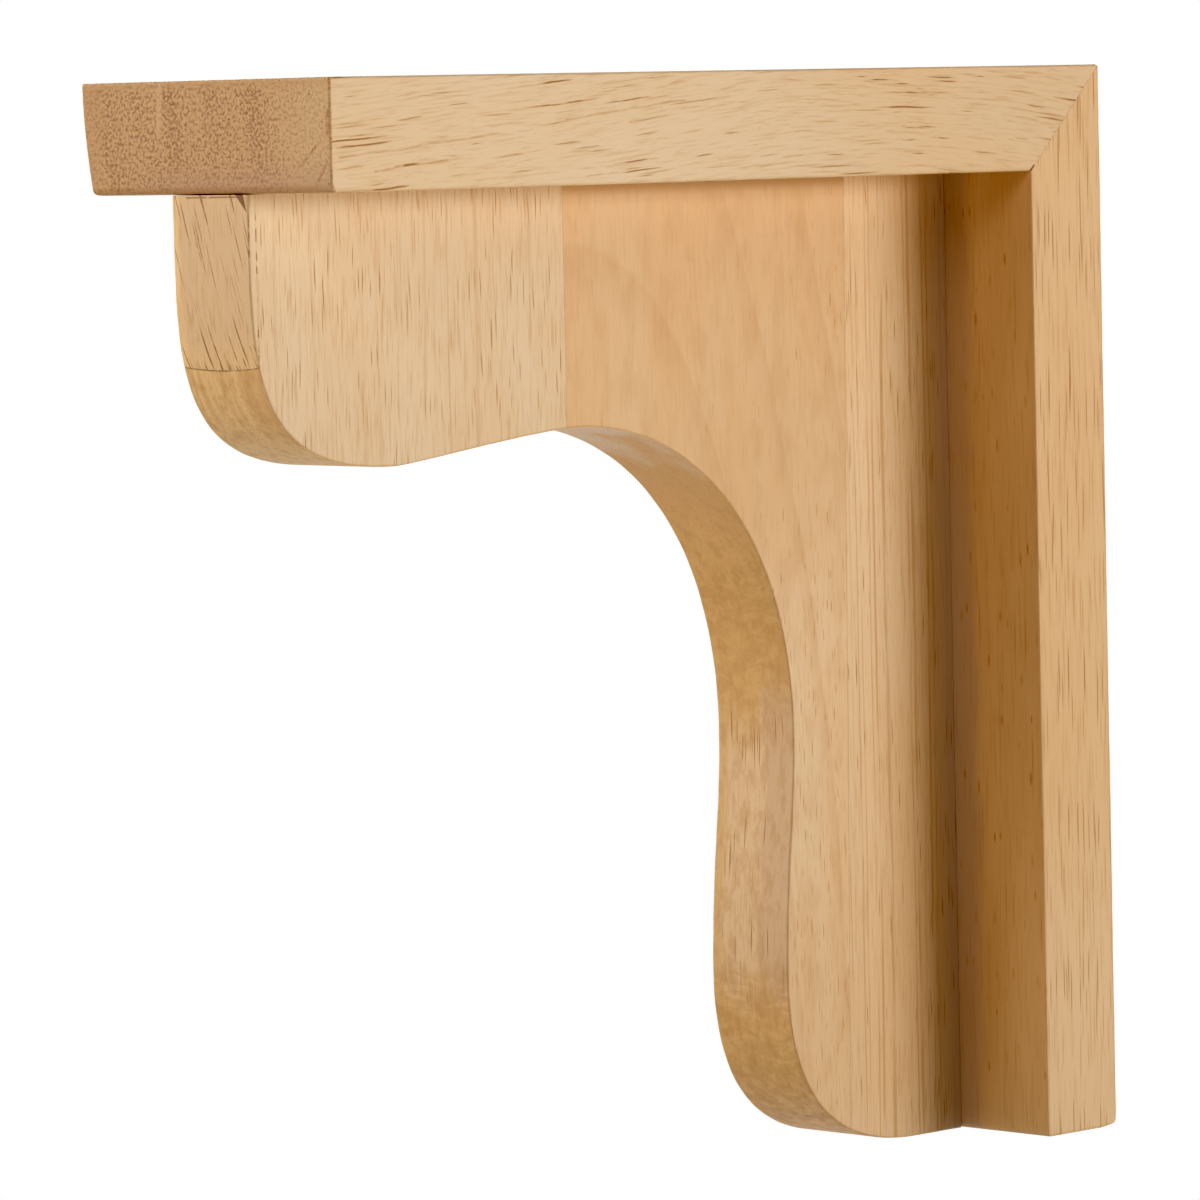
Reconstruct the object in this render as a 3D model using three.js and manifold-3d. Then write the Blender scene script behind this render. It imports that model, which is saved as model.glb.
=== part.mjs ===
// Wooden corbel bracket: a top board and a back board mitred into a right angle, with a
// band-sawn web standing on edge in the corner between them. Millimetres, +Z up. The origin
// is the centre of the face that goes against the wall, and the bracket reaches out along -Y.

import * as THREE from 'three';
import { mergeVertices } from 'three/addons/utils/BufferGeometryUtils.js';
import Module from 'manifold-3d';

// Overall sizes
const height = 203.2; // foot of the back board to the top of the top board
const depth = 200; // wall to the front end of the top board
const width = 64; // both boards, side to side

// Thicknesses of the three pieces
const topThickness = 19.8;
const backThickness = 19.8;
const webThickness = 19.6;

// Clearance left between faces that are glued together
const gap = 0.3;

// Sanded edges: the long arrises, and the square corners of the two boards seen from the side
const arris = 0.7;
const frontTopRadius = 1;
const frontBottomRadius = 1.6;
const wallTopRadius = 1;
const wallBottomRadius = 2.4;
const soleRadius = 1.2;

// Side outline of the web. Drops are measured down from the top board, setbacks back from the
// web's front edge, heights up from the foot, and reaches out from the back board.
const webSetback = 0.9; // web's front edge behind the end of the top board
const browDrop = 7.2; // straight stretch above the nose
const noseDrop = 48.7; // lowest point of the nose
const noseSetback = 33.5;
const archDrop = 44; // crown of the arch
const archSetback = 79.3;
const waistHeight = 79.4; // hollow of the leg
const waistReach = 44.8;
const shinHeight = 33.4; // swell of the leg above the foot
const shinReach = 47.7;
const soleReach = 13.2; // flat underside of the foot

// Fullness of each curve of the web at its start and end, as shares of the curve's own run
const noseFullness = [0.59, 0.98];
const ogeeFullness = [0.1, 0.24];
const archFullness = [0.52, 0.66];
const legFullness = [0.3, 0.42];
const footFullness = [0.83, 0.47];

const webCurveSteps = 18;
const cornerSteps = 4;
const arrisSteps = 3;

// Planes that the pieces share, seen from the side
const top = height / 2;
const foot = -height / 2;
const underside = top - topThickness; // of the top board
const backFace = -backThickness; // of the back board, towards the room
const boardEnd = -depth;
const webFront = boardEnd + webSetback;

const colours = { topBoard: 0xdcb98c, backBoard: 0xd9b180, web: 0xdbb584 };

const wasm = await Module();
wasm.setup();

function solidOf(geometry) {
  const bare = geometry.clone();
  bare.deleteAttribute('normal');
  bare.deleteAttribute('uv');
  const merged = mergeVertices(bare, 1e-4);
  return new wasm.Manifold(new wasm.Mesh({
    numProp: 3,
    vertProperties: Float32Array.from(merged.attributes.position.array),
    triVerts: Uint32Array.from(merged.index.array),
  }));
}

function geometryOf(solid) {
  const { vertProperties, triVerts } = solid.getMesh();
  const geometry = new THREE.BufferGeometry();
  geometry.setAttribute('position', new THREE.BufferAttribute(vertProperties, 3));
  geometry.setIndex(new THREE.BufferAttribute(triVerts, 1));
  const faceted = geometry.toNonIndexed();
  faceted.computeVertexNormals();
  return faceted;
}

// A side outline, drawn with Y across and Z up, becomes a plank that is centred on X = 0
function plank(outline, thickness, ease, steps) {
  const geometry = new THREE.ExtrudeGeometry(outline, {
    depth: thickness - 2 * ease,
    curveSegments: steps,
    bevelEnabled: ease > 0,
    bevelThickness: ease,
    bevelSize: ease,
    bevelOffset: -ease,
    bevelSegments: arrisSteps,
  });
  geometry.translate(0, 0, ease - thickness / 2);
  const across = new THREE.Vector3(0, 1, 0);
  const up = new THREE.Vector3(0, 0, 1);
  const along = new THREE.Vector3(1, 0, 0);
  geometry.applyMatrix4(new THREE.Matrix4().makeBasis(across, up, along));
  return geometry;
}

// Corners are [y, z, radius], anticlockwise; a radius of 0 leaves the corner sharp
function outlineThrough(corners) {
  const shape = new THREE.Shape();
  corners.forEach(([y, z, radius], i) => {
    const corner = new THREE.Vector2(y, z);
    const towards = ([toY, toZ]) => new THREE.Vector2(toY, toZ).sub(corner).setLength(radius);
    const start = towards(corners.at(i - 1)).add(corner);
    const end = towards(corners[(i + 1) % corners.length]).add(corner);
    if (i === 0) {
      shape.moveTo(start.x, start.y);
    } else {
      shape.lineTo(start.x, start.y);
    }
    if (radius > 0) {
      shape.quadraticCurveTo(corner.x, corner.y, end.x, end.y);
    }
  });
  shape.closePath();
  return shape;
}

// The two boards are sanded flush as one right angle, so they are drawn together and parted
// along the mitre afterwards.
function rightAngle() {
  const outline = outlineThrough([
    [boardEnd, top, frontTopRadius],
    [boardEnd, underside, frontBottomRadius],
    [backFace, underside, 0],
    [backFace, foot, soleRadius],
    [0, foot, wallBottomRadius],
    [0, top, wallTopRadius],
  ]);
  return solidOf(plank(outline, width, arris, cornerSteps));
}

// Everything on one side of the mitre, less half the clearance: side is 1 for the half
// above the mitre, which holds the top board, and -1 for the half below it.
function mitreHalf(side) {
  const inner = new THREE.Vector2(backFace, underside);
  const outer = new THREE.Vector2(0, top);
  const along = outer.clone().sub(inner).normalize();
  const away = new THREE.Vector2(-along.y, along.x).multiplyScalar(side);
  const reach = 2 * (height + depth);
  const from = inner.clone().addScaledVector(away, gap / 2);
  const corners = [
    from.clone().addScaledVector(along, -reach),
    from.clone().addScaledVector(along, reach),
    from.clone().addScaledVector(along, reach).addScaledVector(away, reach),
    from.clone().addScaledVector(along, -reach).addScaledVector(away, reach),
  ];
  return solidOf(plank(new THREE.Shape(corners), 2 * width, 0, 1));
}

// Two joined curves of the web meet on a level or upright tangent, so each one is set by its
// ends, the tangent that it starts on and its fullness.
function webCurve(shape, startsUpright, [startFullness, endFullness], y, z, endsUpright) {
  const { x: fromY, y: fromZ } = shape.currentPoint;
  const handle = (upright, share) => (upright ? [0, (z - fromZ) * share] : [(y - fromY) * share, 0]);
  const [outY, outZ] = handle(startsUpright, startFullness);
  const [inY, inZ] = handle(endsUpright, endFullness);
  shape.bezierCurveTo(fromY + outY, fromZ + outZ, y - inY, z - inZ, y, z);
}

// The blank runs past its glued edges by as much as the boards are thick, and is trimmed to
// them afterwards, so that only its free edges are eased.
function webBlank() {
  const shape = new THREE.Shape();
  shape.moveTo(webFront, top);
  shape.lineTo(webFront, underside - browDrop);
  webCurve(shape, true, noseFullness, webFront + noseSetback, underside - noseDrop, false);
  webCurve(shape, false, ogeeFullness, webFront + archSetback, underside - archDrop, false);
  webCurve(shape, false, archFullness, backFace - waistReach, foot + waistHeight, true);
  webCurve(shape, true, legFullness, backFace - shinReach, foot + shinHeight, true);
  webCurve(shape, true, footFullness, backFace - soleReach, foot, false);
  shape.lineTo(0, foot);
  shape.lineTo(0, top);
  shape.closePath();
  return solidOf(plank(shape, webThickness, arris, webCurveSteps));
}

// The inside of the right angle, clear of both boards
function corner() {
  const outline = outlineThrough([
    [2 * boardEnd, 2 * foot, 0],
    [backFace - gap, 2 * foot, 0],
    [backFace - gap, underside - gap, 0],
    [2 * boardEnd, underside - gap, 0],
  ]);
  return solidOf(plank(outline, width, 0, 1));
}

function wood(colour) {
  return new THREE.MeshStandardMaterial({ color: colour, roughness: 0.62, metalness: 0 });
}

function piece(name, solid, colour) {
  const mesh = new THREE.Mesh(geometryOf(solid), wood(colour));
  mesh.name = name;
  return mesh;
}

const bracket = new THREE.Group();
bracket.add(
  piece('top_board', rightAngle().intersect(mitreHalf(1)), colours.topBoard),
  piece('back_board', rightAngle().intersect(mitreHalf(-1)), colours.backBoard),
  piece('centre_web', webBlank().intersect(corner()), colours.web),
);

export default bracket;
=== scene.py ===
import math

import bmesh
import bpy
import numpy as np
from mathutils import Matrix, Vector


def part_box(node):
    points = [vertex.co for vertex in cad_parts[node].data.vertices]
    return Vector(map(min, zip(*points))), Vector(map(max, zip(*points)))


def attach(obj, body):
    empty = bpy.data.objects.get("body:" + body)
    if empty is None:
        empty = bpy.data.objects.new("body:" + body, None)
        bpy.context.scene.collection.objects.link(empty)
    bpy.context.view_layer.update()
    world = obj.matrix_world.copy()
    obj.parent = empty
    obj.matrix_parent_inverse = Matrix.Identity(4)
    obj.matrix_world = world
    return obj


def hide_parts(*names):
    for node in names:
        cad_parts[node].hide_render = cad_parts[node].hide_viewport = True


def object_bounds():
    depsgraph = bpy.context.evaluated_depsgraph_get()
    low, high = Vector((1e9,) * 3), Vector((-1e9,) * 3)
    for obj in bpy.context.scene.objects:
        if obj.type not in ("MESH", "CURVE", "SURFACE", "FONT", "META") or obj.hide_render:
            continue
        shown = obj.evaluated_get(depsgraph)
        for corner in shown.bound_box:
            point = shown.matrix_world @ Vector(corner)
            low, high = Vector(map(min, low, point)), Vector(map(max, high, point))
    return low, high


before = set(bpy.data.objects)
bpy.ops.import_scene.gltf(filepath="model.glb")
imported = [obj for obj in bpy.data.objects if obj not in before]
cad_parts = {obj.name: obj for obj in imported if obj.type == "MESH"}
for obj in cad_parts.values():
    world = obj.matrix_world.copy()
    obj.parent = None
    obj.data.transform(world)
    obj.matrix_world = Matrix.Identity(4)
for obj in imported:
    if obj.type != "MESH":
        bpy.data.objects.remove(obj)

cad_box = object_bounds()
mm = 0.001

# Camera
# A long lens looks at the bracket across its open corner, a little above level, and leans
# slightly, as the photograph does.
camera_azimuth = 44.84
camera_elevation = 3.92
camera_lean = 1.285
camera_distance = 1.2985
camera_aim = Vector((-2.9, -102.4, 5.0)) * mm
camera_lens = 211.5
camera_sensor = 36

turn = Matrix.Rotation(math.radians(camera_azimuth), 4, "Z")
tilt = Matrix.Rotation(math.radians(90 - camera_elevation), 4, "X")
lean = Matrix.Rotation(math.radians(-camera_lean), 4, "Z")
camera_turned = turn @ tilt @ lean
camera_place = camera_aim + camera_turned @ Vector((0, 0, camera_distance))
camera_data = bpy.data.cameras.new("camera")
camera_data.lens = camera_lens
camera_data.sensor_width = camera_sensor
camera = bpy.data.objects.new("camera", camera_data)
camera.matrix_world = Matrix.Translation(camera_place) @ camera_turned
bpy.context.collection.objects.link(camera)
bpy.context.scene.camera = camera

# Floor and light
# A white table in a white studio, both glowing to the camera. Seven soft lamps stand round the
# bracket, one hangs above it, and a small lit card lies on the table at the right. The lamps at
# the left and the back serve the sides that the photograph doesn't show.
floor_half = 6.0
floor_colour = (0, 0, 0, 1)
floor_roughness = 0.8
floor_glow = 1.0
floor_bounce = 0.578
studio_colour = (1.0, 1.0, 1.0, 1)
studio_glow = 1.0
studio_bounce = 0.0
display_gamma = 0.8
display_black = 0.08


def glow(owner, socket, seen, bounced):
    """Gives a socket the seen strength, but the bounced one wherever it lights a matt surface."""
    tree = owner.node_tree
    path = tree.nodes.new("ShaderNodeLightPath")
    strength = tree.nodes.new("ShaderNodeMix")
    strength.inputs["A"].default_value = seen
    strength.inputs["B"].default_value = bounced
    tree.links.new(path.outputs["Is Diffuse Ray"], strength.inputs["Factor"])
    tree.links.new(strength.outputs["Result"], socket)


foot = cad_box[0].z
floor_corners = [(-floor_half, -floor_half, foot), (floor_half, -floor_half, foot),
                 (floor_half, floor_half, foot), (-floor_half, floor_half, foot)]
floor_mesh = bpy.data.meshes.new("floor")
floor_mesh.from_pydata(floor_corners, [], [(0, 1, 2, 3)])
floor = bpy.data.objects.new("floor", floor_mesh)
bpy.context.collection.objects.link(floor)
floor_material = bpy.data.materials.new("white_floor")
floor_material.use_nodes = True
floor_shader = floor_material.node_tree.nodes["Principled BSDF"]
floor_shader.inputs["Base Color"].default_value = floor_colour
floor_shader.inputs["Roughness"].default_value = floor_roughness
floor_shader.inputs["Specular IOR Level"].default_value = 0
floor_shader.inputs["Emission Color"].default_value = studio_colour
glow(floor_material, floor_shader.inputs["Emission Strength"], floor_glow, floor_bounce)
floor_material.cycles.emission_sampling = "NONE"
floor_mesh.materials.append(floor_material)

studio = bpy.data.worlds.new("white_studio")
studio.use_nodes = True
studio_background = studio.node_tree.nodes["Background"]
studio_background.inputs["Color"].default_value = studio_colour
glow(studio, studio_background.inputs["Strength"], studio_glow, studio_bounce)
studio.cycles.sampling_method = "NONE"
bpy.context.scene.world = studio
display = bpy.context.scene.view_settings
display.view_transform = "Standard"
display.gamma = display_gamma
display.use_curve_mapping = True
display.curve_mapping.black_level = (display_black,) * 3
display.curve_mapping.update()


def soft_light(name, place, aim, wide, tall, watts):
    """A rectangular lamp at place, facing aim, that isn't seen itself."""
    lamp = bpy.data.lights.new(name, "AREA")
    lamp.shape = "RECTANGLE"
    lamp.size, lamp.size_y = wide, tall
    lamp.energy = watts
    holder = bpy.data.objects.new(name, lamp)
    holder.location = place
    holder.rotation_euler = (Vector(aim) - Vector(place)).to_track_quat("-Z", "Y").to_euler()
    holder.visible_camera = False
    bpy.context.collection.objects.link(holder)


bracket_middle = Vector((0, -0.1, 0))
lamp_distance = 1.5
# Name, degrees round from the front, height, width, tallness and watts of each lamp
lamps_around = [
    ("right_rear_light", 130, 0.12, 0.42, 0.42, 5.3),
    ("right_light", 115, 0.12, 0.42, 0.42, 7.8),
    ("high_right_light", 30, 0.75, 0.42, 0.6, 5.2),
    ("high_front_light", -15, 0.75, 0.42, 0.6, 4.9),
    ("high_left_light", -65, 0.75, 0.42, 0.6, 11.3),
    ("left_light", -40, 0.12, 0.42, 0.42, 3.3),
    ("left_rear_light", -115, 0.5, 0.9, 0.9, 9.0),
]
for name, azimuth, lamp_height, wide, tall, watts in lamps_around:
    turned = math.radians(azimuth)
    stand = bracket_middle + lamp_distance * Vector((math.sin(turned), -math.cos(turned), 0))
    soft_light(name, (stand.x, stand.y, lamp_height), bracket_middle, wide, tall, watts)

top_light_place = (0, 0.35, 1.5)
top_light_size = 0.9
top_light_watts = 6
soft_light("top_light", top_light_place, bracket_middle, top_light_size, top_light_size, top_light_watts)

card_x, card_y = 0.3, -0.25
card_lift = 4 * mm
card_size = 0.3
card_watts = 0.33
soft_light("right_card", (card_x, card_y, foot + card_lift), (card_x, card_y, 1),
           card_size, card_size, card_watts)

# Top board
# A planed hardwood board on top, whose front end shows its end grain. Its rear end is mitred and
# glued to the back board. Every arris is eased by hand with abrasive paper, so none is quite even.
top_low, top_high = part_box("top_board")
board_half = top_high.x
board_end = top_low.y
top = top_high.z
underside = top_low.z
back_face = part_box("back_board")[0].y
mitre_gap = 0.02 * mm
arris = 0.5 * mm
end_arris = 0.45 * mm
front_wear = 0.6 * mm
front_wear_reach = 9 * mm
wall_top_radius = 1.0 * mm
board_end_radius = 1.5 * mm
corner_wear = 2.5 * mm
corner_wear_reach = 3 * mm
corner_wear_rise = 1.8

arris_steps = 7
flat_steps = 6
side_steps = 7
end_steps = 8
even_rows = 110
first_line = 0.4 * mm
mitre_reach = 4 * mm
most_shrink = 0.7
most_shrunk_at = 1.2 * mm
merge_distance = 1e-7
sharp_angle = math.radians(32)


def wander(distance, start):
    """A slow uneven wobble from -1 to 1: the mean of three sines of unlike lengths."""
    waves = [np.sin(2 * np.pi * distance / (length * mm) + start * turns)
             for length, turns in ((61, 1.0), (23, 2.3), (8.3, 4.1))]
    return sum(waves) / len(waves)


def eased(distance, mean, swing, start):
    """An arris's radius along a board: its mean and its wander are shares of the usual radius."""
    return arris * (mean + swing * wander(distance, start))


def arc(steps):
    """Sine and cosine at even steps of a quarter turn, both ends included."""
    angle = np.linspace(0, np.pi / 2, steps)
    return np.sin(angle), np.cos(angle)


def spread(steps, near=0.015):
    """Shares of a flat from 0 to 1, evenly spaced but with one more line close to each end."""
    return np.concatenate([[near], np.linspace(0, 1, steps)[1:-1], [1 - near]])


def board_rings(half_wide, half_thick, radii, inset):
    """Rounded rectangles, one for each row, as (across, up) from the board's middle.

    Each runs from the middle of the upper face round the +X side to the middle of the lower face,
    and comes back mirrored. radii has the four arrises' radii for each row: upper right, lower
    right, lower left, upper left. inset shrinks a row's rectangle, and its radii with it."""
    sine, cosine = arc(arris_steps)
    half_a = (half_wide - inset)[:, None]
    half_b = (half_thick - inset)[:, None]
    shrink = 1 - most_shrink * np.clip(inset / most_shrunk_at, 0, 1)
    radii = radii * shrink[:, None]

    def half_ring(upper, lower):
        upper, lower = upper[:, None], lower[:, None]
        middle = np.concatenate([[0.0], spread(flat_steps)])
        flat_x = middle * (half_a - upper)
        under_x = (middle * (half_a - lower))[:, ::-1]
        side = spread(side_steps)
        side_up = (half_b - upper) * (1 - side) - (half_b - lower) * side
        x = np.hstack([flat_x, half_a - upper + upper * sine, half_a + 0 * side,
                       half_a - lower + lower * cosine, under_x])
        z = np.hstack([half_b + 0 * flat_x, half_b - upper + upper * cosine, side_up,
                       -half_b + lower - lower * sine, -half_b + 0 * under_x])
        return x, z

    right_x, right_z = half_ring(radii[:, 0], radii[:, 1])
    left_x, left_z = half_ring(radii[:, 3], radii[:, 2])
    x = np.hstack([right_x, -left_x[:, -2:0:-1]])
    z = np.hstack([right_z, left_z[:, -2:0:-1]])
    return x, z


def closed_piece(name, x, y, z, from_arris=None):
    """Joins rings, one a row, into a closed mesh, whose points may keep from_arris as an attribute.

    Quads join each ring to the next. Column k of a ring is the mirror of column -k, so each end is
    closed by strips that run straight across between the two."""
    rows, columns = x.shape
    at = np.arange(rows * columns).reshape(rows, columns)
    along = np.roll(at, -1, axis=1)
    sides = np.stack([at[:-1], along[:-1], along[1:], at[1:]], axis=-1).reshape(-1, 4)
    half = columns // 2
    k = np.arange(1, half - 1)
    faces = sides.tolist()
    for ring in (at[0], at[-1]):
        faces += np.stack([ring[k], ring[k + 1], ring[-k - 1], ring[-k]], axis=-1).tolist()
        faces += [[ring[0], ring[1], ring[-1]], [ring[half - 1], ring[half], ring[half + 1]]]
    mesh = bpy.data.meshes.new(name)
    mesh.from_pydata(np.stack([x, y, z], axis=-1).reshape(-1, 3).tolist(), [], faces)
    if from_arris is not None:
        kept = mesh.attributes.new("from_arris", "FLOAT", "POINT")
        kept.data.foreach_set("value", from_arris.ravel())
    shell = bmesh.new()
    shell.from_mesh(mesh)
    bmesh.ops.remove_doubles(shell, verts=shell.verts, dist=merge_distance)
    bmesh.ops.recalc_face_normals(shell, faces=shell.faces)
    shell.to_mesh(mesh)
    shell.free()
    mesh.shade_smooth()
    mesh.set_sharp_from_angle(angle=sharp_angle)
    piece = bpy.data.objects.new(name, mesh)
    bpy.context.collection.objects.link(piece)
    return piece


def round_off(y, z, corner, inward, radius):
    """Rolls a corner of the side view to a radius.

    Points between the corner and the centre of its arc move towards that centre until they are no
    further off than the radius."""
    centre_y = corner[0] + inward[0] * radius
    centre_z = corner[1] + inward[1] * radius
    off_y, off_z = y - centre_y, z - centre_z
    outside = (off_y * inward[0] < 0) & (off_z * inward[1] < 0)
    off = np.hypot(off_y, off_z)
    scale = np.where(outside, np.minimum(1, radius / np.maximum(off, 1e-9)), 1)
    return centre_y + off_y * scale, centre_z + off_z * scale


def board_rows(end_radius, length):
    """Insets and stations of a board's rings, from its free end to its mitre.

    The first rings lie in the end face, the next ones roll over its arris along a quarter circle,
    and the rest stand along the board, closer together where it meets the mitre."""
    sine, cosine = arc(end_steps)
    inset = np.concatenate([[end_radius + first_line], end_radius * (1 - sine)])
    station = np.concatenate([[0], end_radius * (1 - cosine)])
    close = np.array([2.5, 1.6, 1.1, 0.8, 0.6, 0.45, 0.3, 0.2, 0.1, 0.03, 0]) * mm
    body = np.linspace(end_radius + first_line, length - mitre_reach, even_rows)
    body = np.concatenate([body, length - close])
    return np.concatenate([inset, 0 * body]), np.concatenate([station, body])


top_length = -board_end
top_inset, top_station = board_rows(end_arris, top_length)
front_worn = front_wear * np.exp(-top_station / front_wear_reach)
top_radii = np.stack([
    eased(top_station, 0.8, 0.25, 1.0),
    eased(top_station, 1.0, 0.35, 2.0) + front_worn,
    eased(top_station, 1.0, 0.35, 3.0) + front_worn,
    eased(top_station, 0.8, 0.25, 4.0),
], axis=-1)
top_middle = (top + underside) / 2
top_x, top_up = board_rings(board_half, (top - underside) / 2, top_radii, top_inset)
mitre_lean = -back_face / (top - underside)
mitre_y = (top_up + top_middle - top) * mitre_lean - mitre_gap
top_share = (top_station / top_length)[:, None]
top_y = board_end + top_share * (mitre_y - board_end)
top_z = top_middle + top_up
top_y, top_z = round_off(top_y, top_z, (0, top), (-1, -1), wall_top_radius)
top_y, top_z = round_off(top_y, top_z, (board_end, underside), (1, 1), board_end_radius)

# The lower left front corner is worn: its side goes in, more so lower down and further forward
lowness = np.clip((top - top_z) / (top - underside), 0, 1)
worn = corner_wear * lowness ** corner_wear_rise * np.exp((board_end - top_y) / corner_wear_reach)
top_x = np.where(top_x < 0, top_x * (1 - worn / board_half), top_x)
top_board = closed_piece("top_board_wood", top_x, top_y, top_z)


class Field:
    """A value, colour or place that varies over a surface: one socket of a material's nodes.

    An expression on fields adds the Math or Vector Math nodes that work it out."""

    def __init__(self, socket):
        self.socket = socket

    def node(self, kind, settings, values, output=0):
        """Adds any node: its settings come first, then its sockets' values or links."""
        tree = self.socket.id_data
        added = tree.nodes.new("ShaderNode" + kind)
        for name, setting in settings.items():
            setattr(added, name, setting)
        for name, value in values.items():
            if isinstance(value, Field):
                tree.links.new(value.socket, added.inputs[name])
            else:
                added.inputs[name].default_value = value
        return Field(added.outputs[output])

    def beside(self, output):
        """Another output of the same node."""
        return Field(self.socket.node.outputs[output])

    def maths(self, operation, *values):
        """A Math node, or a Vector Math node where this field is a place or a colour."""
        kind = "Math" if self.socket.type == "VALUE" else "VectorMath"
        return self.node(kind, {"operation": operation}, dict(enumerate(values)))

    def __add__(self, other):
        return self.maths("ADD", self, other)

    def __sub__(self, other):
        return self.maths("SUBTRACT", self, other)

    def __rsub__(self, other):
        return self.maths("SUBTRACT", other, self)

    def __mul__(self, other):
        return self.maths("MULTIPLY", self, other)

    def __truediv__(self, other):
        return self.maths("DIVIDE", self, other)

    __radd__, __rmul__ = __add__, __mul__

    def size(self):
        """How far a value is from 0, whatever its sign."""
        return self.maths("ABSOLUTE", self)

    def ramp(self, low, high, start=0.0, end=1.0):
        """Eases from start to end while this field goes from low to high."""
        values = {"Value": self, "From Min": low, "From Max": high, "To Min": start, "To Max": end}
        return self.node("MapRange", {"interpolation_type": "SMOOTHSTEP"}, values)

    def between(self, low, high):
        """The colour that goes from low to high while this field goes from 0 to 1."""
        return self.node("Mix", {"data_type": "RGBA"}, {"Factor": self, 6: low, 7: high}, 2)

    def axis(self, name):
        """One coordinate of a place."""
        return self.node("SeparateXYZ", {}, {0: self}, name)

    def length(self):
        """How far a place is from the middle of its frame."""
        return self.node("VectorMath", {"operation": "LENGTH"}, {0: self}, "Value")


def place_of(across, over, along):
    """A place from its three coordinates. In wood the last one runs along the grain."""
    return across.node("CombineXYZ", {}, {0: across, 1: over, 2: along})


def most(first, *others):
    """The largest of several fields at each place."""
    for other in others:
        first = first.maths("MAXIMUM", first, other)
    return first


def cloud(place, blob, detail=2.0, harshness=0.5):
    """Noise from 0 to 1, with blobs of about the given three sizes in mm."""
    at = place / blob
    return at.node("TexNoise", {}, {"Vector": at, "Scale": 1.0, "Detail": detail, "Roughness": harshness})


def bands(distance, spacing, detail=2.0):
    """Noise from 0 to 1 that changes with one distance in mm alone."""
    at = distance / spacing
    return at.node("TexNoise", {"noise_dimensions": "1D"}, {"W": at, "Scale": 1.0, "Detail": detail})


def sway(place, blob, reach):
    """A slow wandering shift of up to half of reach each way, in mm."""
    return (cloud(place, blob, 1.0).beside("Color") - (0.5, 0.5, 0.5)) * reach


def swayed(place, blob, reach):
    """A place moved by its sway, so that the grain waves."""
    return place + sway(place, blob, reach)


def from_heart(place, clear_of_web_shade):
    """How far a place is from the heart of its tree, across the grain."""
    return ((place - clear_of_web_shade) * (1, 1, 0)).length()


def vessels(place, cell, length, share, width=0.15, flat=False):
    """Cut vessels, from 0 to 1: thin spindles along the grain.

    Space is parted into irregular cells, cell mm across and length mm long. A share of them holds
    a spindle round its centre, which is width of the cell thick each way. Its darkness is drawn by
    lot. A flat pattern lies on one face, with the grain along the place's second coordinate."""
    at = place / ((cell, length, 1) if flat else (cell, cell, length))
    off_centre = at.node("TexVoronoi", {"voronoi_dimensions": "2D" if flat else "3D"},
                         {"Vector": at, "Scale": 1.0})
    lot = off_centre.beside("Color")
    drawn = lot.axis("X").ramp(1 - share, 1.01 - share)
    depth = lot.axis("Y").ramp(0.0, 1.0, 0.3, 1.0)
    girth = lot.axis("Z") * 0.6 + 0.7
    return (off_centre / girth).ramp(width, width * 0.4) * drawn * depth


def stroke(points, start, end, width):
    """A fine mark: 1 on the straight line from start to end, and 0 from width off it, in mm."""
    start, run = Vector(start), Vector(end) - Vector(start)
    off = points - tuple(start)
    along = off.node("VectorMath", {"operation": "DOT_PRODUCT"},
                     {0: off, 1: tuple(run / run.length_squared)}, "Value")
    share = along.node("Clamp", {}, {"Value": along})
    gap = off - place_of(share * run.x, share * run.y, share * run.z)
    return gap.length().ramp(width, width * 0.35)


def strokes(points, marks):
    """Several strokes, each given by its start, its end, its width each way and its darkness."""
    return most(*(stroke(points, start, end, width) * dark for start, end, width, dark in marks))


def new_wood(name, piece):
    """A bare hardwood on a piece: its shader, and the places on the piece in mm."""
    material = bpy.data.materials.new(name)
    material.use_nodes = True
    piece.data.materials.append(material)
    shader = material.node_tree.nodes["Principled BSDF"]
    coordinates = material.node_tree.nodes.new("ShaderNodeTexCoord")
    return shader, Field(coordinates.outputs["Object"]) / (mm, mm, mm)


def stained(colour, dash, rim, core):
    """A wood's colour with dashes on it: of the rim colour, and of the core colour where deep."""
    colour = (dash * 0.95).between(colour, rim)
    return (dash.ramp(0.5, 1.0) * 0.6).between(colour, core)


def finish_wood(shader, colour, fibre, dash, cut):
    """Lays a colour on a wood. Its fibres stand up a little, its vessels are rougher than the wood
    between them, and cut is how deep they are, in mm."""
    roughness = fibre * 0.12 + 0.46 + dash * 0.15
    height = fibre * 0.02 - cut
    bump = height.node("Bump", {}, {"Height": height, "Distance": mm, "Strength": 1.0}, "Normal")
    for name, field in (("Base Color", colour), ("Roughness", roughness), ("Normal", bump)):
        shader.id_data.links.new(field.socket, shader.inputs[name])


pale_wood = (0.71, 0.545, 0.36, 1)
tan_wood = (0.70, 0.487, 0.278, 1)
warm_wood = (0.69, 0.455, 0.245, 1)
streak_tan = (0.56, 0.33, 0.155, 1)
vessel_brown = (0.29, 0.13, 0.06, 1)
end_light = (0.645, 0.415, 0.222, 1)
end_dark = (0.37, 0.20, 0.105, 1)
end_straw = (0.68, 0.48, 0.275, 1)
end_calm = (0.58, 0.36, 0.18, 1)
end_mauve = (0.50, 0.31, 0.21, 1)
end_pore = (0.17, 0.08, 0.04, 1)
grain_crest, grain_straight = -65, -100
grain_slope = 0.083
grain_bend = grain_slope / (grain_crest - grain_straight) / 2
top_heart = (-160, 40, 0)
vessel_depth = 0.06
notch = ((32, -19.9, 81.9), (32, -19.1, 82.7), 0.4)
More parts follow.
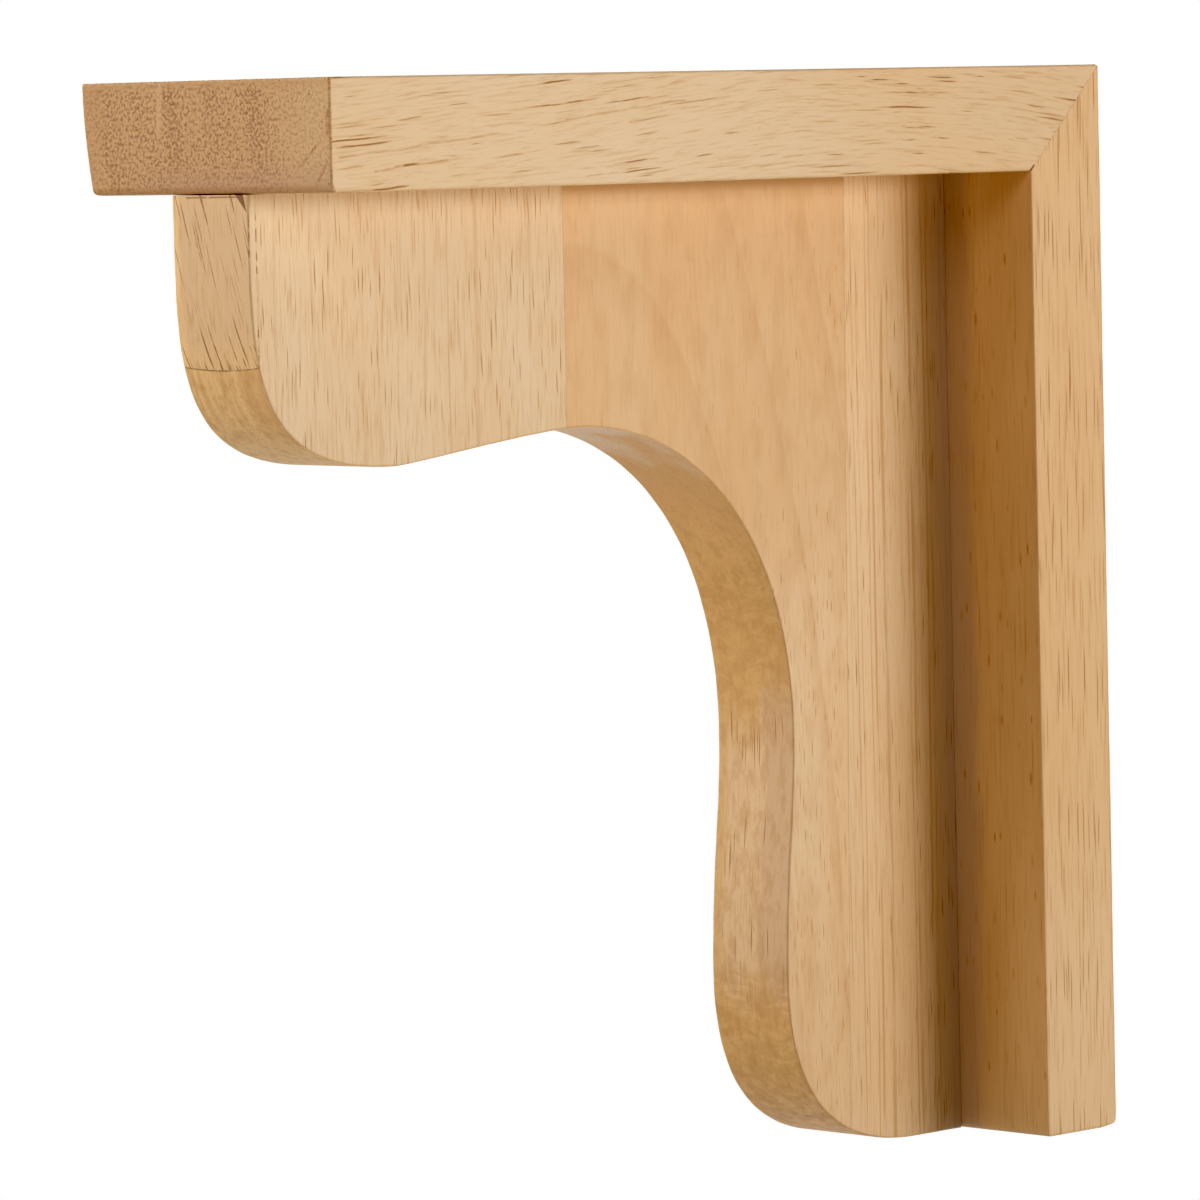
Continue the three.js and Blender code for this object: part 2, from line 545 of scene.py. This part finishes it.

# Strokes given one by one: start, end, width each way and darkness
side_dashes = [((32, -189.8, 85.4), (32, -172.4, 86.9), 0.22, 0.6),
               ((32, -185.0, 85.9), (32, -179.0, 86.4), 0.3, 1.0),
               ((32, -197.9, 87.8), (32, -158.4, 91.3), 0.24, 0.5),
               ((32, -143.3, 93.5), (32, -113.4, 96.4), 0.24, 0.5)]
end_shades = [((-27, -200, 99), (-21.5, -200, 83), 4.5, 0.9),
              ((-9, -200, 99), (-7.5, -200, 87), 3.0, 1.0),
              ((1, -200, 101), (2, -200, 84), 2.2, 0.7),
              ((12.4, -200, 99), (13.2, -200, 84), 2.6, 0.6)]
end_scratches = [((24.5, -200, 86.5), (29.5, -200, 90.5), 0.4, 1.0),
                 ((28.6, -200, 83.5), (31.3, -200, 87), 0.45, 1.0),
                 ((31.3, -200, 92), (31.5, -200, 96.5), 0.5, 1.0)]
end_pale_streak = ((-11.4, -200, 100.6), (-11.8, -200, 93), 0.9)

# The grain rises from the front, bends over at its crest and falls again towards the wall
shader, points = new_wood("top_board_hardwood", top_board)
across, along, up = (points.axis(name) for name in "XYZ")
from_crest = most(along - grain_crest, grain_straight - grain_crest)
before_straight = along - grain_straight
before_straight = before_straight.maths("MINIMUM", before_straight, 0)
rise = before_straight * grain_slope - from_crest * from_crest * grain_bend
place = swayed(place_of(across, up - rise, along), (30, 12, 42), (2.2, 2.4, 0))
ring = from_heart(place, top_heart)
ring_tone = bands(ring, 4.5, 3).ramp(0.3, 0.7)
blotch = cloud(place, (26, 26, 60), 3).ramp(0.35, 0.68)
fibre = cloud(place, (0.5, 0.5, 8), 3, 0.6)
fleck = cloud(place, (0.4, 0.4, 2.2), 2, 0.6)
toward_wall = along.ramp(-150, -20)
colour = (blotch * 0.4 + ring_tone * 0.15 + toward_wall * 0.45).between(pale_wood, tan_wood)
colour = fibre.ramp(0.48, 0.8, 0, 0.55).between(colour, streak_tan)
colour = fleck.ramp(0.55, 0.8, 0, 0.22).between(colour, streak_tan)

# Its cut vessels
torn = swayed(place, (2, 2, 4), (0.3, 0.3, 0))
short_dashes = vessels(torn, 0.64, 19, 0.92, 0.25)
long_dashes = vessels(torn, 0.95, 46, 0.85, 0.2)
bent = swayed(points, (3, 6, 3), (0, 0, 0.9))
patchy = cloud(points, (2, 3, 2)).ramp(0.3, 0.65, 0.35, 1)
dash = most(short_dashes * (0.72 + toward_wall * 0.18), long_dashes, strokes(bent, side_dashes) * patchy)
colour = stained(colour, dash, streak_tan, vessel_brown) * (1 - toward_wall * 0.04)
colour = stroke(points, *notch).between(colour, vessel_brown)

# The end grain on its front end
section = place_of(across, up, along * 0.05)
end_ring = bands(ring, 7, 3).ramp(0.35, 0.65)
bend = (cloud(section, (5, 4, 1)) - 0.5) * 2.5
shade = strokes(place_of(across + bend, along, up), end_shades)
worm = cloud(section, (0.62, 0.62, 1), 2, 0.6) - shade * 0.045 + end_ring * 0.03
calm = most(across.ramp(-24, -31), up.ramp(99.3, 101.2), up.ramp(84, 82) * 0.8) * 0.55
end_colour = worm.ramp(0.34, 0.59).between(end_dark, end_light)
end_colour = (across.ramp(12, 30) * 0.5).between(end_colour, end_straw)
end_colour = (calm + end_ring * 0.1).between(end_colour, end_calm)
end_colour = (up.ramp(89, 82.5) * across.ramp(-30, 0) * 0.45).between(end_colour, end_mauve)
end_colour = (stroke(points, *end_pale_streak) * 0.5).between(end_colour, end_straw)
end_pores = vessels(place_of(across, up, along * 0.02), 0.95, 1, 0.7, 0.17)
end_colour = (end_pores * 0.7).between(end_colour, end_pore)
scratches = strokes(swayed(points, (2, 2, 2), (1.1, 0, 1.1)), end_scratches)
scratches = scratches * cloud(points, (1.5, 2, 1.5)).ramp(0.35, 0.6)
end_colour = (scratches * 0.7).between(end_colour, end_dark)
rolled_under = up.ramp(underside / mm + 1.5, underside / mm) * 0.9
end_face = (along - rolled_under).ramp(board_end / mm + 0.5, board_end / mm + 0.3)
colour = end_face.between(colour, end_colour)
cut = dash * vessel_depth + end_face * (end_pores * 0.05 + scratches * 0.04)
finish_wood(shader, colour, fibre, dash, cut)
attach(top_board, "root")
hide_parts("top_board")

# Back board
# The same stock stood on end against the wall. Its wall face is flat and bare, its foot is cut
# level, and its top end is mitred and glued to the top board.
wall_foot_radius = 2.4 * mm
sole_radius = 1.2 * mm
foot_arris = 0.7 * mm

back_length = top - foot
back_inset, back_station = board_rows(foot_arris, back_length)
back_radii = np.stack([
    eased(back_station, 0.7, 0.2, 5.0),
    eased(back_station, 0.62, 0.15, 6.0),
    eased(back_station, 1.0, 0.3, 7.0),
    eased(back_station, 0.7, 0.2, 8.0),
], axis=-1)
back_middle = back_face / 2
back_x, back_up = board_rings(board_half, -back_face / 2, back_radii, back_inset)
back_mitre = top + (back_up + back_middle) / mitre_lean - mitre_gap
back_share = (back_station / back_length)[:, None]
back_z = foot + back_share * (back_mitre - foot)
back_y = back_middle + back_up
back_y, back_z = round_off(back_y, back_z, (0, top), (-1, -1), wall_top_radius)
back_y, back_z = round_off(back_y, back_z, (0, foot), (-1, 1), wall_foot_radius)
back_y, back_z = round_off(back_y, back_z, (back_face, foot), (1, 1), sole_radius)
back_board = closed_piece("back_board_wood", back_x, back_y, back_z)

recess_gold = (0.75, 0.51, 0.285, 1)
# Painted shade on the room face beside the web
recess_shade_brown = (0.61, 0.43, 0.29, 1)
back_streak = (0.585, 0.325, 0.145, 1)
back_heart = (40, -120, 0)
# How far from the web, in mm, the painted shade on the room face fades out
web_shade_reach = 16.3

# Its room face is painted browner near the web, as painted shade cast by the web, and its foot is a
# little paler
shader, points = new_wood("back_board_hardwood", back_board)
across, over, along = (points.axis(name) for name in "XYZ")
broad = most(over.ramp(back_face / mm + 0.5, back_face / mm + 0.3), over.ramp(-0.5, -0.3))
place = swayed(place_of(across, over, along), (30, 12, 60), (2.0, 1.8, 0))
ring_tone = bands(from_heart(place, back_heart), 3.5, 3).ramp(0.3, 0.7)
blotch = cloud(place, (14, 14, 50), 3).ramp(0.35, 0.65)
fibre = cloud(place, (0.5, 0.5, 10), 3, 0.6)
colour = (blotch * 0.5 + ring_tone * 0.3 + along.ramp(-80, 60) * 0.3).between(tan_wood, warm_wood)
colour = (along.ramp(-20, -95) * 0.45).between(colour, pale_wood)
# Painted shade: the room face is brown near the web and golden further off
from_web = across.size() + (cloud(points, (9, 9, 18)) - 0.5) * 5
clear_of_web_shade = most(from_web.ramp(web_shade_reach - 2.4, web_shade_reach + 1.2), over.ramp(-10, -5) * 0.8)
recess_colour = clear_of_web_shade.between(recess_shade_brown, recess_gold)
recess_colour = (blotch * 0.25 + ring_tone * 0.1).between(recess_colour, streak_tan)
colour = broad.between(colour, recess_colour)
colour = fibre.ramp(0.48, 0.8, 0, 0.5).between(colour, streak_tan)

# Its vessels are drawn flat, on the broad faces by x and on the edges by y
cross = over + (across - over) * broad
flat_place = swayed(place_of(cross, along + (across - broad * across) * 3, 0), (7, 26, 9), (1.0, 0, 0))
fine_lines = vessels(flat_place, 0.62, 28, 0.9 - broad * 0.65, 0.22, True)
long_lines = vessels(flat_place, 1.05, 62, 0.8 - broad * 0.7, 0.14, True)
blunt_pores = vessels(flat_place, 2.5, 11, 0.66, 0.14, True) * broad
dash = most(fine_lines * (0.85 - broad * 0.2), long_lines * (0.8 - broad * 0.3), blunt_pores * 0.68)
colour = stained(colour, dash, back_streak, vessel_brown) * (1 + along.ramp(-20, -95) * 0.05)
finish_wood(shader, colour, fibre, dash, dash * vessel_depth)
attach(back_board, "root")
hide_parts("back_board")

# Web
# A panel glued up from upright hardwood staves, band-sawn to a nose, an open arch and a foot,
# smoothed on a drum and glued into the corner on its centre line.
web_low, web_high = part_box("centre_web")
web_half = web_high.x
web_front = web_low.y
glue_gap = 0.06 * mm
web_top = underside - glue_gap
web_back = back_face - glue_gap
brow_drop = 7.2 * mm
nose_drop, nose_setback = 48.7 * mm, 33.5 * mm
arch_drop, arch_setback = 44 * mm, 79.3 * mm
waist_height, waist_reach = 79.4 * mm, 44.8 * mm
shin_height, shin_reach = 33.4 * mm, 47.7 * mm
sole_reach = 13.2 * mm
nose_fullness = (0.59, 0.98)
ogee_fullness = (0.1, 0.24)
arch_fullness = (0.52, 0.66)
leg_fullness = (0.3, 0.42)
foot_fullness = (0.83, 0.47)
brow_steps = 26
nose_steps = 60
ogee_steps = 36
arch_steps = 70
leg_steps = 30
foot_steps = 50
sole_steps = 10
glued_setback = 1.5 * mm
web_arris = 0.42 * mm
chip_depth, chip_height = 0.65 * mm, 2.6 * mm


def curve(start, end, upright, fullness, steps):
    """A cubic curve whose ends are level or upright: each handle is a share of the run that way."""
    start, end = np.array(start), np.array(end)
    run = end - start
    ways = [np.array([0.0, 1.0]) if stands else np.array([1.0, 0.0]) for stands in upright]
    out = start + run * ways[0] * fullness[0]
    back = end - run * ways[1] * fullness[1]
    t = np.linspace(0, 1, steps)[:, None]
    return (1 - t) ** 3 * start + 3 * (1 - t) ** 2 * t * out + 3 * (1 - t) * t ** 2 * back + t ** 3 * end


brow_end = (web_front, underside - brow_drop)
nose = (web_front + nose_setback, underside - nose_drop)
crown = (web_front + arch_setback, underside - arch_drop)
waist = (back_face - waist_reach, foot + waist_height)
shin = (back_face - shin_reach, foot + shin_height)
sole = (back_face - sole_reach, foot)
edge = np.vstack([
    np.linspace((web_front, web_top), brow_end, brow_steps)[:-1],
    curve(brow_end, nose, (True, False), nose_fullness, nose_steps)[:-1],
    curve(nose, crown, (False, False), ogee_fullness, ogee_steps)[:-1],
    curve(crown, waist, (False, True), arch_fullness, arch_steps)[:-1],
    curve(waist, shin, (True, True), leg_fullness, leg_steps)[:-1],
    curve(shin, sole, (True, False), foot_fullness, foot_steps)[:-1],
    np.linspace(sole, (web_back, foot), sole_steps),
])
crown_row = brow_steps + nose_steps + ogee_steps - 3
waist_row = crown_row + arch_steps - 1
travelled = np.concatenate([[0], np.cumsum(np.hypot(*np.diff(edge, axis=0).T))])
forward = np.gradient(edge, axis=0)
forward /= np.hypot(*forward.T)[:, None]
inward = np.stack([-forward[:, 1], forward[:, 0]], axis=-1)

# The glued edges run from the top front corner back to the inner corner and down to the foot.
# The point of the arch that faces the inner corner is joined to it by a straight line.
turning = crown_row + int(np.argmax(inward[crown_row:waist_row] @ np.array([1.0, 1.0])))
before_turning = np.arange(len(edge)) <= turning
share = np.where(before_turning, travelled / travelled[turning],
                 (travelled - travelled[turning]) / (travelled[-1] - travelled[turning]))
glued_start = web_front + glued_setback
glued_y = np.where(before_turning, glued_start + share * (web_back - glued_start), web_back)
glued_z = np.where(before_turning, web_top, web_top + share * (foot + web_arris - web_top))
glued = np.stack([glued_y, glued_z], axis=-1)


def web_side(radius):
    """Half a ring for each row: from the middle of the sawn edge, round its arris, along the side
    to the glued edge and to the middle of that edge."""
    radius = radius[:, None]
    sine, cosine = arc(arris_steps)
    flat = np.concatenate([[0.0], spread(4, 0.03)])
    side = np.concatenate([spread(22, 0.006), [1.0]])
    rear = np.array([0.6, 0.0])
    roll = np.concatenate([0 * flat, 1 - cosine])
    x = np.hstack([flat * (web_half - radius), web_half - radius + radius * sine,
                   web_half + 0 * side + 0 * radius, web_half * rear + 0 * radius])
    start = edge[:, None, :] + inward[:, None, :] * (radius * roll)[..., None]
    inner = edge + inward * radius
    flank = inner[:, None, :] + (glued - inner)[:, None, :] * side[None, :, None]
    last = np.repeat(glued[:, None, :], len(rear), axis=1)
    return x, np.concatenate([start, flank, last], axis=1)


chip = np.clip(1 - travelled / chip_height, 0, 1) * chip_depth
right_x, right_place = web_side(web_arris * (1 + 0.3 * wander(travelled, 9.0)) + chip)
left_x, left_place = web_side(web_arris * (1 + 0.3 * wander(travelled, 10.0)))
web_x = np.hstack([right_x, -left_x[:, -2:0:-1]])
web_place = np.concatenate([right_place, left_place[:, -2:0:-1]], axis=1)
from_edge = np.hypot(*(web_place - edge[:, None, :]).transpose(2, 0, 1))
centre_web = closed_piece("centre_web_wood", web_x, web_place[..., 0], web_place[..., 1],
                          from_edge - (web_half - abs(web_x)))

crown_pale = (0.855, 0.635, 0.44, 1)
sole_pink = (0.88, 0.585, 0.335, 1)
arch_light = (0.785, 0.50, 0.25, 1)
arch_gold = (0.715, 0.47, 0.23, 1)
leg_tan = (0.77, 0.55, 0.34, 1)
leg_pink = (0.665, 0.46, 0.295, 1)
foot_gold = (0.745, 0.49, 0.242, 1)
nose_light = (0.84, 0.585, 0.32, 1)
nose_gold = (0.76, 0.505, 0.265, 1)
front_tan = (0.74, 0.52, 0.315, 1)
pore_grey = (0.29, 0.15, 0.07, 1)
# Painted shade in the crease beside the back board
crease_shade_brown = (0.58, 0.43, 0.31, 1)
front_glue, front_glue_bow = -197.27, 0.0016
first_glue = -122.6
second_glue, second_glue_lean = -49.3, 0.0172
glue_edge = 0.05
glue_width = 0.16
stave_shift_over, stave_shift_along = 37, 53
year_middle, year_width = (118, 32.5), 13.3
# Height in mm where the painted shade in the chip at the top front corner begins
wedge_shade_tip = 78.3
top_seam = ((-6, -199.1, 81.28), (8, -199.1, 81.34), 0.22)
corner_line = ((9.75, -199.05, 79), (9.75, -199.05, 61), 0.24)

# The staves from the front back: a thin facing, the first, the second and the third
shader, points = new_wood("web_hardwood", centre_web)
from_arris = points.node("Attribute", {"attribute_name": "from_arris"}, {}, "Fac") / mm
across, over, along = (points.axis(name) for name in "XYZ")
off_front = over - (front_glue - across * across * front_glue_bow)
off_first = over - first_glue
off_second = over - (along * second_glue_lean + second_glue)
past_front = off_front.ramp(-0.04, 0.04)
past_first = off_first.ramp(-glue_edge, glue_edge)
past_second = off_second.ramp(-glue_edge, glue_edge)
front = 1 - past_front
first = past_front - past_first
second = past_first - past_second
third = past_second
sawn = from_arris.ramp(0.08, -0.12)
side = 1 - sawn
low = along.ramp(30, -10)

# Each stave's own grain, with the tree's years as faint ovals on the second
stave = past_first + past_second + past_front
stave_over = over + stave * stave_shift_over
stave_along = along + stave * stave_shift_along
place = swayed(place_of(across, stave_over, stave_along), (30, 14, 80), (2.0, 1.6, 0))
blotch = cloud(place, (22, 18, 50), 3).ramp(0.35, 0.65)
fibre = cloud(place, (0.5, 0.5, 8), 3, 0.6)
fleck = cloud(place, (0.4, 0.4, 2.2), 2, 0.6)
rings = place_of(over + year_middle[0], across * 0.15 + along * 0.3 + year_middle[1], 0)
rings = rings + sway(points, (24, 24, 40), (2, 2, 0))
year = (rings.length() - 2.3) / year_width
year = year.maths("FRACT", year)
late = year.ramp(0.7, 0.97) * year.ramp(1.0, 0.96) * second
long_fade = cloud(place, (1.6, 1.6, 26), 2).ramp(0.35, 0.6)
tight = bands(place.axis("Y"), 1.0, 3).ramp(0.52, 0.66) * third * long_fade
loose = bands(place.axis("Y"), 1.9, 3).ramp(0.54, 0.72) * first * long_fade
patch = cloud(place, (5, 5, 11)).ramp(0.42, 0.7) * second
ragged = cloud(points, (2.5, 3, 13))
speckle = cloud(points, (3, 3, 1.6))
side_tone = blotch * 0.3 + second * (0.68 - low * 0.45) + third * 0.3
colour = side_tone.between(pale_wood, warm_wood)
front_colour = (along.ramp(59, 52) * 0.5).between(front_tan, nose_light)
front_colour = (across + ragged * 2).ramp(-6.2, -7.6).between(front_colour, nose_light)
colour = (front * sawn).between(colour, front_colour)
colour = (tight * 0.7 + loose * 0.3 + late * 0.22 + patch * 0.24).between(colour, streak_tan)

# The sawn edge changes tone from the nose over the crown, the arch and the leg to the sole
uneven = along + (cloud(points, (8, 12, 12)) - 0.5) * 24
on_leg = along.ramp(-8, -20) * along.ramp(-82, -74)
left_strip = (across + ragged * 2).ramp(-5.2, -7.2)
right_strip = (across + ragged * 6).ramp(4.8, 6.0)
sawn_colour = uneven.ramp(37, 28).between(crown_pale, arch_light)
sawn_colour = uneven.ramp(20, 4).between(sawn_colour, arch_gold)
sawn_colour = uneven.ramp(-12, -28).between(sawn_colour, leg_tan)
sawn_colour = (on_leg * left_strip * 0.7).between(sawn_colour, arch_gold)
sawn_colour = (on_leg * right_strip * 0.7).between(sawn_colour, leg_pink)
sawn_colour = uneven.ramp(-64, -78).between(sawn_colour, foot_gold)
sawn_colour = along.ramp(-86, -98).between(sawn_colour, sole_pink)
nose_colour = (across.ramp(2.9, 3.9) * over.ramp(-183, -196)).between(nose_light, nose_gold)
streaky = bands(across + ragged * 2, 1.5).ramp(0.4, 0.62) * along.ramp(36, 44)
nose_colour = (streaky * 0.3).between(nose_colour, streak_tan)
sawn_colour = first.between(sawn_colour, nose_colour)
calm_crown = second * along.ramp(12, 24) * 0.75
mottle = cloud(points, (2.2, 2.2, 4.5), 2, 0.65).ramp(0.42, 0.7, 0, 0.42) * (1 - calm_crown)
sawn_colour = mottle.between(sawn_colour, streak_tan)
curled = cloud(swayed(points, (8, 8, 8), (7, 7, 7)), (4, 4, 1.5)).ramp(0.36, 0.62)
figure = most(along.ramp(-60, -70), along.ramp(-24, -12) * along.ramp(12, 4)) * (1 - first)
sawn_colour = (curled * figure * 0.34).between(sawn_colour, streak_tan)
colour = (sawn * past_front).between(colour, sawn_colour)
colour = (fibre.ramp(0.48, 0.8, 0, 0.55) * (1 - second * 0.4)).between(colour, streak_tan)
colour = fleck.ramp(0.55, 0.8, 0, 0.22).between(colour, streak_tan)
# Painted shade: the side is darker and greyer next to the back board, in the crease
colour = (over.ramp(-26, -20.5) * 0.75).between(colour, crease_shade_brown)
# Painted shade: a darker band on the sides just under the top board
under_board_shade = along.ramp(79.0, 81.4) * side * (0.2 + second * 0.75)
colour = under_board_shade.between(colour, streak_tan)
colour = colour * (1 + side * (second * low * 0.06 + third * over.ramp(-26, -36) * 0.05))

# Its cut vessels, on the side and on the sawn edge
side_place = swayed(place_of(stave_over, stave_along + across * 5, 0), (5, 12, 9), (0.9, 0, 0))
side_place = swayed(side_place, (2.2, 60, 9), (0, 30, 0))
side_fleck = vessels(side_place, 0.66, 17, first * 0.9 + third * 0.4, 0.2, True)
pore_share = second * (low * 0.95 + over.ramp(-76, -56) * 0.3 + 0.03)
side_pores = vessels(side_place, 0.88, 8.5, pore_share, 0.2, True)
edge_place = place_of(across + front * along * 0.3, along + over * 0.3, 0)
edge_place = swayed(edge_place, (3, 9, 9), (0.5, 0, 0))
leg_share = on_leg * (1 - left_strip) * (1 - right_strip * 0.75) * across.ramp(9.3, 8.8)
edge_dashes = vessels(edge_place, 0.58, 20, leg_share * 0.92, 0.23, True) * past_front
dash = most(side_fleck * side * 0.88, side_pores * side * 0.68, edge_dashes * sawn * 0.9)
colour = stained(colour, dash, streak_tan, vessel_brown)

# Dark marks: the facing's lines, its joint across the nose, painted shade in the wedge-shaped chip at its
# top corner, the seams under the top board and down the corner, the glue lines, and a thin line of
# painted shade along the arris
broken = cloud(points, (1, 1, 2.4)).ramp(0.32, 0.55, 0.25, 1)
edge_lines = vessels(edge_place, 0.85, 26, front, 0.2, True) * broken
joint_marks = along.ramp(56, 54.5) * across.ramp(-6, -3)
short_lines = vessels(edge_place, 0.9, 6, joint_marks * 0.8, 0.22, True) * front
# Painted shade in the chip at the web's top front corner, under the top board
off_wedge_shade = across - (9.6 - (along - wedge_shade_tip) * 0.6)
wedge_shade = (along - wedge_shade_tip) * 0.34 - off_wedge_shade.size()
glue_seam = stroke(points, *top_seam) * speckle.ramp(0.25, 0.45)
corner_dashes = stroke(points, *corner_line) * speckle.ramp(0.45, 0.6)
front_marks = most(edge_lines * sawn, short_lines * sawn, glue_seam * 0.7,
                   corner_dashes * 0.6, wedge_shade.ramp(0, 0.25) * front * sawn)
# Painted shade: a thin, broken darker line along the rounded arris
arris_shade_line = from_arris.size().ramp(0.17, 0.05) * speckle.ramp(0.2, 0.6) * 0.22
dotted = speckle.ramp(0.45, 0.6) * side
glue = most(off_front.size().ramp(glue_width * 0.3, 0.0), off_front.size().ramp(0.2, 0.05) * dotted,
            off_first.size().ramp(glue_width, 0.0) * 0.35,
            off_second.size().ramp(glue_width, 0.0) * 0.35)
glue = glue * speckle.ramp(0.3, 0.6, 0.3, 0.9)
colour = most(front_marks, arris_shade_line, glue).between(colour, pore_grey)
finish_wood(shader, colour, fibre, dash, 0)
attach(centre_web, "root")
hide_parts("centre_web")
